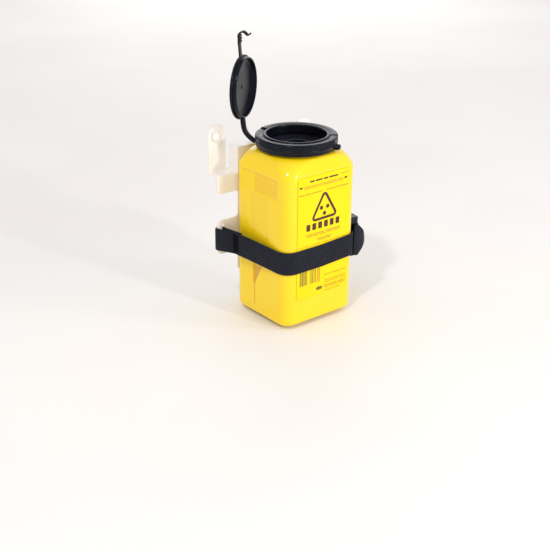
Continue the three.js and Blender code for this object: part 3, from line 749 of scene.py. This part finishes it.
# ---- collar ----------------------------------------------------------------------------------
def collar_profile(azimuth):
    """The collar's section at one azimuth, with its knurls, raised back half and notch."""
    back = (azimuth - RAISED_FROM) % 360
    length = RAISED_TO - RAISED_FROM
    raised = smoothstep(0, 0.9, back) * (1 - smoothstep(length - 0.9, length, back))
    notch = smoothstep(length, length + 0.8, back) * (1 - smoothstep(length + 6, length + 6.8, back))
    notch += 0.35 * smoothstep(-0.9, -0.2, back - 360) * (1 - smoothstep(0, 0.1, back - 360))
    # ten groups of six upright ribs on the outer band, one group centred on KNURL_AZ
    group, ribs, pitch, rib_height = 36.0, 6, 4.1, 0.65
    within = (azimuth - KNURL_AZ + ribs * pitch / 2) % group
    knurl = 0.0
    if within < ribs * pitch:
        knurl = 0.5 - 0.5 * math.cos(within / pitch * 2 * math.pi)
    band = 42.7 + rib_height * knurl
    rim = COLLAR_RIM + (COLLAR_TOP - 0.1 - COLLAR_RIM) * raised - 1.6 * notch
    edge = rim - 0.1
    return [
        (38.2, COLLAR_FOOT), (41.4, COLLAR_FOOT), (42.1, COLLAR_FOOT + 0.2), (42.5, COLLAR_FOOT + 0.7),
        (42.6, COLLAR_FOOT + 2.4), (42.65, COLLAR_FOOT + 4.2), (43.0, COLLAR_FOOT + 4.7),
        (43.35, COLLAR_FOOT + 5.2), (43.35, COLLAR_FOOT + 5.8), (43.0, COLLAR_FOOT + 6.3),
        (band, COLLAR_FOOT + 6.6), (band, COLLAR_FOOT + 8.6), (band, COLLAR_FOOT + 10.6),
        (43.0, COLLAR_FOOT + 10.9), (43.25, edge - 1.2), (43.1, edge - 0.7), (42.6, edge - 0.3),
        (41.9, edge), (40.8, rim), (38.4, rim), (36.4, rim - 0.15), (35.8, rim - 0.7 + 0.3 * raised),
        (35.2, COLLAR_RIM - 0.75 + 0.8 * raised), (34.7, COLLAR_TOP - 0.7), (34.2, COLLAR_TOP - 0.15),
        (33.6, COLLAR_TOP), (32.7, COLLAR_TOP), (32.0, COLLAR_TOP - 0.25),
        (MOUTH_R + 0.02, COLLAR_TOP - 0.9), (MOUTH_R, COLLAR_TOP - 2.0), (MOUTH_R, 190.0),
        (MOUTH_R, 188.0), (MOUTH_R + 0.4, 187.45), (MOUTH_R + 1.3, 187.45), (MOUTH_R + 1.7, 188.0),
        (MOUTH_R + 1.7, 193.0), (38.2, 193.0),
    ]


def make_collar():
    """The snap-on collar and its catch lug."""
    points, faces = turned_mesh(collar_profile, 720)
    build("collar", points, faces, BLACK, FROM_AXIS, "container", "black_plastic", ("collar_ring",), 40)
    # the catch lug beside the shut lid's tail, narrowing outwards
    middle = COLLAR_FOOT + 2.95
    rings = []
    for reach, half, rise in (
        (41.5, 4.4, 2.95), (44.0, 4.3, 2.95), (45.6, 4.1, 2.85), (46.7, 3.7, 2.55),
        (47.4, 3.1, 2.05), (47.8, 2.3, 1.35), (47.88, 1.0, 0.45),
    ):
        corner = min(half, rise) * 0.9
        foot, top = middle - rise, middle + rise
        corners = [(-half, foot, corner), (half, foot, corner), (half, top, corner), (-half, top, corner)]
        rings.append([(reach, u, v) for u, v in filleted(corners, 5)])
    turn = FROM_AXIS @ Matrix.Rotation(math.radians(CATCH_AZ), 4, "Z")
    build("collar_catch", *rings_mesh(rings), BLACK, turn, "container", "black_plastic", (), 60)


def make_insert():
    """The funnel in the mouth: a needle hole with a raised lip, and two round keyholes beside it."""
    profile = [
        (12.2, 186.2), (12.4, 186.5), (12.9, 186.6), (13.4, 186.5), (13.6, 186.2), (13.7, 185.4),
        (14.3, 184.75), (15.5, 184.65), (24.0, 185.55), (30.0, 186.2), (34.9, 186.75), (35.3, 186.5),
        (35.3, 185.3), (30.0, 184.6), (22.0, 183.8), (13.6, 182.9), (13.6, 180.6), (13.3, 180.2),
        (12.5, 180.2), (12.2, 180.6),
    ]
    points, faces = turned_mesh(profile, 120)
    # the funnel takes the lighter black, which is painted light inside the mouth
    piece = build("mouth_funnel", points, faces, FUNNEL_BLACK_PAINTED_LIGHT, FROM_AXIS, "container", "black_plastic",
                  ("mouth_insert",))
    hole_r, hole_reach, under, over = 2.4, 22, 178, 190
    for azimuth in (200, 320):
        points, faces = prism(circle(hole_reach, 0, hole_r), under, over, flat)
        turn = FROM_AXIS @ Matrix.Rotation(math.radians(azimuth), 4, "Z")
        mesh = bpy.data.meshes.new("cutter")
        mesh.from_pydata([tuple((turn @ Vector(p)) * MM) for p in points], [], faces)
        cutter = bpy.data.objects.new("cutter", mesh)
        bpy.context.collection.objects.link(cutter)
        cut = piece.modifiers.new("hole", "BOOLEAN")
        cut.operation, cut.object, cut.solver = "DIFFERENCE", cutter, "EXACT"
        applied(piece)
        bpy.data.objects.remove(cutter)
    piece.data.shade_smooth()
    piece.data.set_sharp_from_angle(angle=math.radians(40))


# ---- lid, tether and tail --------------------------------------------------------------------
def make_lid():
    """The lid as it lies shut: a dished cap with a centre dimple, and a plug rim under it."""
    profile = [
        (0.01, 200.1), (1.2, 199.95), (1.8, 200.25), (12.0, 200.2), (24.0, 200.0), (28.4, 199.8),
        (29.2, 200.0), (29.9, 200.4), (30.6, LID_TOP), (32.0, LID_TOP), (32.8, 200.2),
        (LID_R, 199.6), (LID_R, 198.3), (32.9, 197.75), (32.4, 197.5), (31.5, 197.5),
        (PLUG_R, 197.3), (PLUG_R, 194.2), (30.95, 193.6), (30.6, PLUG_FOOT), (29.9, PLUG_FOOT),
        (29.5, 193.6), (29.25, 194.6), (29.1, 196.4), (28.6, 197.6), (27.4, 198.2), (24.0, 198.5),
        (14.0, 198.75), (4.0, 198.8), (1.9, 198.75), (1.6, 198.3), (1.0, 198.1), (0.01, 198.1),
    ]
    points, faces = turned_mesh(profile, 144)
    build("lid", points, faces, BLACK, FROM_LID, "lid", "black_plastic", ("lid_cap",), 40)


def strip_mesh(line, across, half_width, thick, teeth=None):
    """A moulded strip along a line. across(i) and half_width(i) are its width's direction and half its size
    at point i, and teeth(i) is how far its underside stands out there."""
    around = 16
    rings = []
    for i, here in enumerate(line):
        before, after = line[max(i - 1, 0)], line[min(i + 1, len(line) - 1)]
        along = (after - before).normalized()
        side = across(i).normalized()
        up = side.cross(along).normalized()
        side = along.cross(up).normalized()
        low = teeth(i) if teeth else 0.0
        ring = []
        for k in range(around):
            angle = 2 * math.pi * k / around
            c, s = math.cos(angle), math.sin(angle)
            u = math.copysign(abs(c) ** 0.45, c) * half_width(i)
            v = math.copysign(abs(s) ** 0.6, s) * thick / 2
            if s < -0.3:
                v -= low
            ring.append(tuple(here + side * u + up * v))
        rings.append(ring)
    return rings_mesh(rings)


def polar(azimuth, radius, z):
    """A point from its azimuth round the container's axis, its radius and its height."""
    a = math.radians(azimuth)
    return Vector((radius * math.cos(a), radius * math.sin(a), z))


def make_tether():
    """The strip from the collar to the lid's edge, as it hangs with the lid open."""
    rising = [
        (42.6, 187.0), (44.4, 187.6), (47.5, 189.8), (50.9, 193.2), (53.6, 197.0), (54.9, 200.8),
        (55.5, 204.6),
    ]
    in_lid = [(35.6, 197.9), (31.6, 198.2)]
    knots = [polar(TETHER_AZ, radius, z) for radius, z in rising]
    knots += [LID_TURN @ polar(TETHER_AZ, radius, z) for radius, z in in_lid]
    line = spline(knots, 8)
    fixed = Vector((-math.sin(math.radians(TETHER_AZ)), math.cos(math.radians(TETHER_AZ)), 0))
    moved = LID_TURN.to_3x3() @ fixed
    last = len(line) - 1
    points, faces = strip_mesh(line, lambda i: fixed.lerp(moved, smoothstep(0.25, 0.75, i / last)),
                               lambda i: TETHER_HALF, TETHER_THICK)
    piece = build("tether", points, faces, BLACK, FROM_AXIS, None, "black_plastic",
                  ("tether_root", "tether_band"), 60)
    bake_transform(piece)


def make_tail():
    """The latch tail: a toothed blade that ends in a hook, with a thin root."""
    level = TAIL_LEVEL
    shape = [(-14, -0.6), (-7, -0.2), (-2, 0), (2.5, 0.15), (7, 0), (10.2, 0.1), (12.6, -1.1), (13.9, -4.4),
             (12.7, -6.9), (10.9, -9), (12.3, -12)]
    knots = [(TAIL_ROOT + reach, level + rise) for reach, rise in shape]
    flat_line = spline(knots, 12)
    line = [LID_TURN @ polar(TAIL_AZ, p[0], p[1]) for p in flat_line]
    azimuth = math.radians(TAIL_AZ)
    across = LID_TURN.to_3x3() @ Vector((math.sin(azimuth), -math.cos(azimuth), 0))

    first, last, pitch, height = 1.4, 10.2, 3.0, 1.1

    def teeth(i):
        reach = flat_line[i][0] - TAIL_ROOT
        if first < reach < last and flat_line[i][1] > level - 1:
            return max(0.0, height * math.sin(math.pi * ((reach - first) / pitch % 1.0)))
        return 0.0

    def half_width(i):
        reach = flat_line[i][0] - TAIL_ROOT
        curl = smoothstep(level - 0.5, level - 5, flat_line[i][1])
        return TAIL_HALF - 0.6 * smoothstep(4, -3, reach) - 1.7 * curl

    points, faces = strip_mesh(line, lambda i: across, half_width, TAIL_THICK, teeth)
    piece = build("latch_strip", points, faces, BLACK, FROM_AXIS, None, "black_plastic", ("latch_tail",), 50)
    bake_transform(piece)


# ---- webbing ---------------------------------------------------------------------------------
CORNER_X = WIDTH / 2 - CORNER                    # middle of the container's front corner
CORNER_Y = AXIS_Y - DEPTH / 2 + CORNER
CORNER_R = 13.8                                  # the strap's middle line round that corner
EYE_OUTER, EYE_INNER, EYE_Y, EYE_R = 69.3, 65.2, -15.5, 2.5      # the loop through the wing's slot
LAYER = WEB_THICK + 0.35                         # from one layer of a closed eye to the other
STITCH = 59.5                                    # where the eye is sewn shut, along the free run
REAR_OUT, REAR_ALONG, REAR_R = -1.7, 39.8, 1.4   # the buckle's rear bar


def beside_run(along, out, z):
    """A station beside the strap's free run on the right-hand side."""
    return (
        CORNER_X + CORNER_R + math.sin(LEAN) * along + math.cos(LEAN) * out,
        CORNER_Y + math.cos(LEAN) * along - math.sin(LEAN) * out,
        z,
    )


def arc(x, y, radius, start, end, steps, z):
    """Stations round a centre, from one azimuth to another."""
    return [
        (x + radius * math.cos(math.radians(start + (end - start) * k / steps)),
         y + radius * math.sin(math.radians(start + (end - start) * k / steps)), z)
        for k in range(steps + 1)
    ]


def wing_eye():
    """The right-hand eye: out round the wing's edge and back through its slot."""
    return [
        beside_run(STITCH + 2.5, 0, 79.0),
        *arc(EYE_OUTER, EYE_Y, EYE_R, -39, 90, 10, 81.0),
        *arc(EYE_INNER, EYE_Y, EYE_R, 90, 180, 8, 81.0),
        (EYE_INNER - EYE_R - 0.3, EYE_Y - 5, 80.6),
        beside_run(STITCH + 1.5, -LAYER, 79.0),
    ]


def flipped(stations):
    """The same stations on the left-hand side."""
    return [(-x, y, z) for x, y, z in stations]


def resampled(stations, step):
    """Even steps along a polyline, with its corners eased."""
    line = [Vector(s) for s in stations]
    reach = [0.0]
    for a, b in zip(line, line[1:]):
        reach.append(reach[-1] + (b - a).length)
    count = int(reach[-1] / step)
    out, seg = [], 0
    for k in range(count + 1):
        s = reach[-1] * k / count
        while seg < len(line) - 2 and reach[seg + 1] < s:
            seg += 1
        span = reach[seg + 1] - reach[seg]
        out.append(line[seg].lerp(line[seg + 1], (s - reach[seg]) / span if span else 0.0))
    for _ in range(10):
        out = [out[0]] + [(a + b * 2 + c) / 4 for a, b, c in zip(out, out[1:], out[2:])] + [out[-1]]
    return out


def webbing_mesh(stations, pitch=2.2, relief=0.5):
    """Ribbed webbing on edge: the ribs cross its width, and its edges are rolled."""
    rib_steps = 8
    line = resampled(stations, pitch / rib_steps)
    half = WEB_WIDTH / 2
    rings = []
    rolled = 0.88                                # the edges are rolled from here outwards
    upper = [0.3, 0.6, rolled, 0.94, 0.985, 1.0]
    spans = [-t for t in upper[::-1]] + [0.0] + upper
    for i, here in enumerate(line):
        before, after = line[max(i - 2, 0)], line[min(i + 2, len(line) - 1)]
        along = (after - before).normalized()
        out = Vector((along.y, -along.x, 0)).normalized()
        up = Vector((0, 0, 1))
        rib = (0.5 - 0.5 * math.cos(2 * math.pi * i / rib_steps)) ** 0.7
        ring = []
        for sign in (1, -1):
            for t in (spans if sign > 0 else spans[::-1]):
                edge = math.sqrt(max(1 - max(abs(t) - rolled, 0) ** 2 / (1 - rolled) ** 2, 0.0))
                height = (WEB_THICK / 2 - relief + relief * rib * (1 if abs(t) < 0.9 else 0.4)) * edge
                if abs(t) == 1.0 and sign < 0:
                    continue
                ring.append(tuple(here + out * (sign * height) + up * (t * half)))
        rings.append(ring)
    return rings_mesh(rings)


def make_straps():
    """The long strap round the front, and the short one that anchors the buckle to the right wing."""
    left_eye = [*wing_eye(), beside_run(STITCH - 6, -LAYER, 79.0)][::-1]
    long_run = [
        *flipped(left_eye), *flipped([beside_run(30, 0, 76.8), beside_run(2, 0, 74.3)]),
        *arc(-CORNER_X, CORNER_Y, CORNER_R, 184, 270, 12, 74.3),
        (0, AXIS_Y - DEPTH / 2 - 1.8, 74.2),
        *arc(CORNER_X, CORNER_Y, CORNER_R, 270, 356, 12, 76.0),
        beside_run(2, 0, 76.0), beside_run(30, 0, 77.0), beside_run(34, 1, 77.0),
        beside_run(38.5, 2.9, 77.2), beside_run(46, 2.8, 77.6), beside_run(54.5, 2.4, 78.2),
    ]
    build("strap", *webbing_mesh(long_run), WEB, FROM_WALL, "bracket", "webbing", ("long_strap",), 60)
    reach = REAR_R + 1.2
    around = []
    for degrees in range(0, 181, 15):
        turn = math.radians(degrees)
        along, out = REAR_ALONG - reach * math.sin(turn), REAR_OUT - reach * math.cos(turn)
        around.append(beside_run(along, out, 77.0))
    short_run = [
        beside_run(52, REAR_OUT - reach + 0.5, 78.2), beside_run(45, REAR_OUT - reach, 77.5), *around,
        beside_run(46, 0.6, 77.6), beside_run(55, 0, 78.5), *wing_eye(),
        beside_run(54.5, -LAYER - 0.7, 78.5),
    ]
    build("strap_anchor", *webbing_mesh(short_run), WEB, FROM_WALL, "bracket", "webbing",
          ("anchor_strap",), 60)


def make_stitching(side, name, node):
    """A bar tack sewn through both layers beside the wing: rows of zigzag, close together."""
    rows, row_gap, first, off_run = 7, 1.25, STITCH - 2.6, 1.15
    pitch, swing, foot, height = 4.2, 1.5, 68.6, 20.8
    thread_out, thread_along, sides = 0.3, 0.5, 6
    turns = int(height / pitch * 2)
    parts = []
    for row in range(rows):
        along = first + row_gap * row
        corners = []
        for k in range(turns + 1):
            reach = along + (swing if k % 2 else -swing) / 2
            x, y, _ = beside_run(reach, off_run, 0)
            corners.append(Vector((x * side, y, foot + height * k / turns)))
        line = []
        for a, b in zip(corners, corners[1:]):
            line += [a.lerp(b, t / 4) for t in range(4)]
        out = Vector((math.cos(LEAN) * side, -math.sin(LEAN), 0))
        loops = []
        for i, here in enumerate(line):
            before, after = line[max(i - 1, 0)], line[min(i + 1, len(line) - 1)]
            across = (after - before).normalized().cross(out).normalized()
            loops.append([
                tuple(here + out * thread_out * math.cos(2 * math.pi * a / sides)
                      + across * thread_along * math.sin(2 * math.pi * a / sides))
                for a in range(sides)
            ])
        parts.append(rings_mesh(loops))
    build(name, *joined(*parts), THREAD, FROM_WALL, "bracket", "thread", (node,), 80)


# ---- buckle ----------------------------------------------------------------------------------
def make_buckle():
    """The cam buckle's body and its lever."""
    moulded("buckle_frame", "buckle_body", BUCKLE_BLACK, "bracket", 0.4, 8)
    moulded("buckle_lever", "buckle_cam", BUCKLE_BLACK, "buckle_lever", 0.36, 30)


# ---- bracket and fixings ---------------------------------------------------------------------
CAP_X, CAP_Y = 61.5, -2.3


def make_bracket():
    """The folded sheet and the domed caps on its two screws."""
    from_cad("bracket_plate", "bracket_sheet", CREAM, "bracket", 0.55)
    for side, label in ((-1, "left"), (1, "right")):
        profile = [
            (0.01, 4.4), (1.2, 4.36), (2.4, 4.1), (3.4, 3.65), (4.2, 3.0), (4.7, 2.3), (4.95, 1.6),
            (5.0, 1.0), (4.3, 1.0), (4.1, 2.0), (3.2, 2.9), (0.01, 3.3),
        ]
        points, faces = turned_mesh(profile, 56)
        height = SCREW_Z if side < 0 else SCREW_Z - EAR_DROP
        outwards = Matrix.Rotation(math.radians(90), 4, "X")
        turn = FROM_WALL @ Matrix.Translation((side * CAP_X, CAP_Y, height)) @ outwards
        build(f"cap_{label}", points, faces, CAP, turn, "bracket", "cream_plastic", (f"screw_cap_{label}",))


def finish_cad_nodes():
    """Hidden fixings keep their CAD shape and only take a material."""
    looks = {
        "fixing_screw_left": STEEL, "fixing_screw_right": STEEL,
        "cup_washer_left": CAP, "cup_washer_right": CAP,
        "buckle_pin": STEEL, "lever_spring": STEEL,
    }
    for node, material in looks.items():
        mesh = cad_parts[node].data
        mesh.materials.clear()
        mesh.materials.append(material)


# ---- camera, floor and light, in metres -------------------------------------------------------
CAMERA_AT = (-0.7160, -0.9072, 0.3430)
CAMERA_HEADING, CAMERA_DOWN, CAMERA_ROLL = -39.15, 24.2, 0.52
LENS, SENSOR = 72.3, 36.0
LIT = (0, -0.06, -0.03)                          # what the lights point at


def make_camera():
    data = bpy.data.cameras.new("camera")
    data.lens = LENS
    data.sensor_width = SENSOR
    camera = bpy.data.objects.new("camera", data)
    bpy.context.collection.objects.link(camera)
    turn = (
        Matrix.Rotation(math.radians(CAMERA_HEADING), 4, "Z")
        @ Matrix.Rotation(math.radians(90 - CAMERA_DOWN), 4, "X")
        @ Matrix.Rotation(math.radians(CAMERA_ROLL), 4, "Z")
    )
    camera.matrix_world = Matrix.Translation(CAMERA_AT) @ turn
    bpy.context.scene.camera = camera


def area_light(name, where, size, power, mirrored=True):
    """A round light. One that is not mirrored lights the pieces but leaves no bright spot on them."""
    data = bpy.data.lights.new(name, "AREA")
    data.shape = "DISK"
    data.size = size
    data.energy = power
    light = bpy.data.objects.new(name, data)
    bpy.context.collection.objects.link(light)
    light.location = where
    light.rotation_euler = (Vector(LIT) - Vector(where)).to_track_quat("-Z", "Y").to_euler()
    light.visible_camera = False
    light.visible_glossy = mirrored


def make_stage():
    """A pale floor just under the part, an even sky, a key light, two small lamps and a back panel."""
    mesh = bpy.data.meshes.new("floor")
    reach, level = 6.0, cad_low.z - 0.0015
    sides = [(-1, -1), (1, -1), (1, 1), (-1, 1)]
    mesh.from_pydata([(reach * x, reach * y, level) for x, y in sides], [], [(0, 1, 2, 3)])
    floor = bpy.data.objects.new("floor", mesh)
    bpy.context.collection.objects.link(floor)
    s = Shader("floor_paint")
    s.colour(s.ramp(s.noise(3.0), srgb("f3efed"), srgb("f6f3f1")))
    s.rough(s.range(s.noise(8.0), 0.75, 0.85))
    mesh.materials.append(s.material)
    world = bpy.data.worlds.new("studio")
    bpy.context.scene.world = world
    world.use_nodes = True
    sky = world.node_tree.nodes["Background"]
    sky.inputs["Color"].default_value = (1.0, 0.99, 0.98, 1.0)
    sky.inputs["Strength"].default_value = 0.74
    area_light("key", (0.87, -1.15, 0.62), 0.4, 3.5, mirrored=False)
    area_light("front_flash", (0.29, -1.52, 0.34), 0.13, 6.5)
    area_light("left_flash", (-0.98, -0.58, 1.16), 0.12, 6)
    area_light("back_panel", (1.25, 1.5, 0.55), 1.5, 6)
    bpy.context.scene.view_settings.view_transform = "Standard"


make_camera()
make_container()
make_label()
make_collar()
make_insert()
make_lid()
make_tether()
make_tail()
make_straps()
make_stitching(-1, "stitching_left", "bar_tack_left")
make_stitching(1, "stitching_right", "bar_tack_right")
make_buckle()
make_bracket()
finish_cad_nodes()
make_stage()
